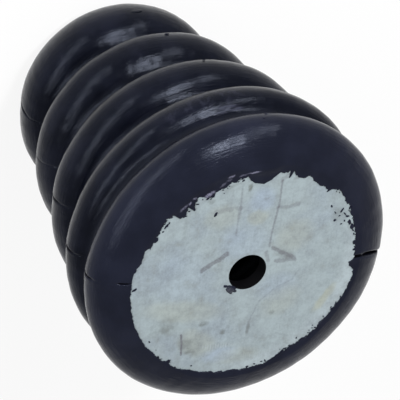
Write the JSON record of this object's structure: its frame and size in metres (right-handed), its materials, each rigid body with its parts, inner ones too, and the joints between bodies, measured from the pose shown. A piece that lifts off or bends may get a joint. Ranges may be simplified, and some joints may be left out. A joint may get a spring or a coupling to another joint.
{
  "type": "rubber buffer",
  "caption": "Hollow rubber buffer with tapering rings, open at its narrow end, and a round steel plate with a central bolt hole bonded into its wide end.",
  "frame": {"origin": "centre of the open free end, in the plane of its flat ring, so that the buffer stands on the plane Z = 0", "axes": "+Z along the buffer's axis from the free end up to the steel plate; the mould's parting plane is the plane of X and Z"},
  "size_m": [0.108, 0.11, 0.126],
  "materials": {
    "rubber": "satin black, slightly glossy from the mould",
    "plate_steel": "dull pale zinc or phosphate coat with light scratches and stains"
  },
  "bodies": {
    "root": {"rubber_body": "rubber", "mounting_plate": "plate_steel"}
  },
  "joints": []
}
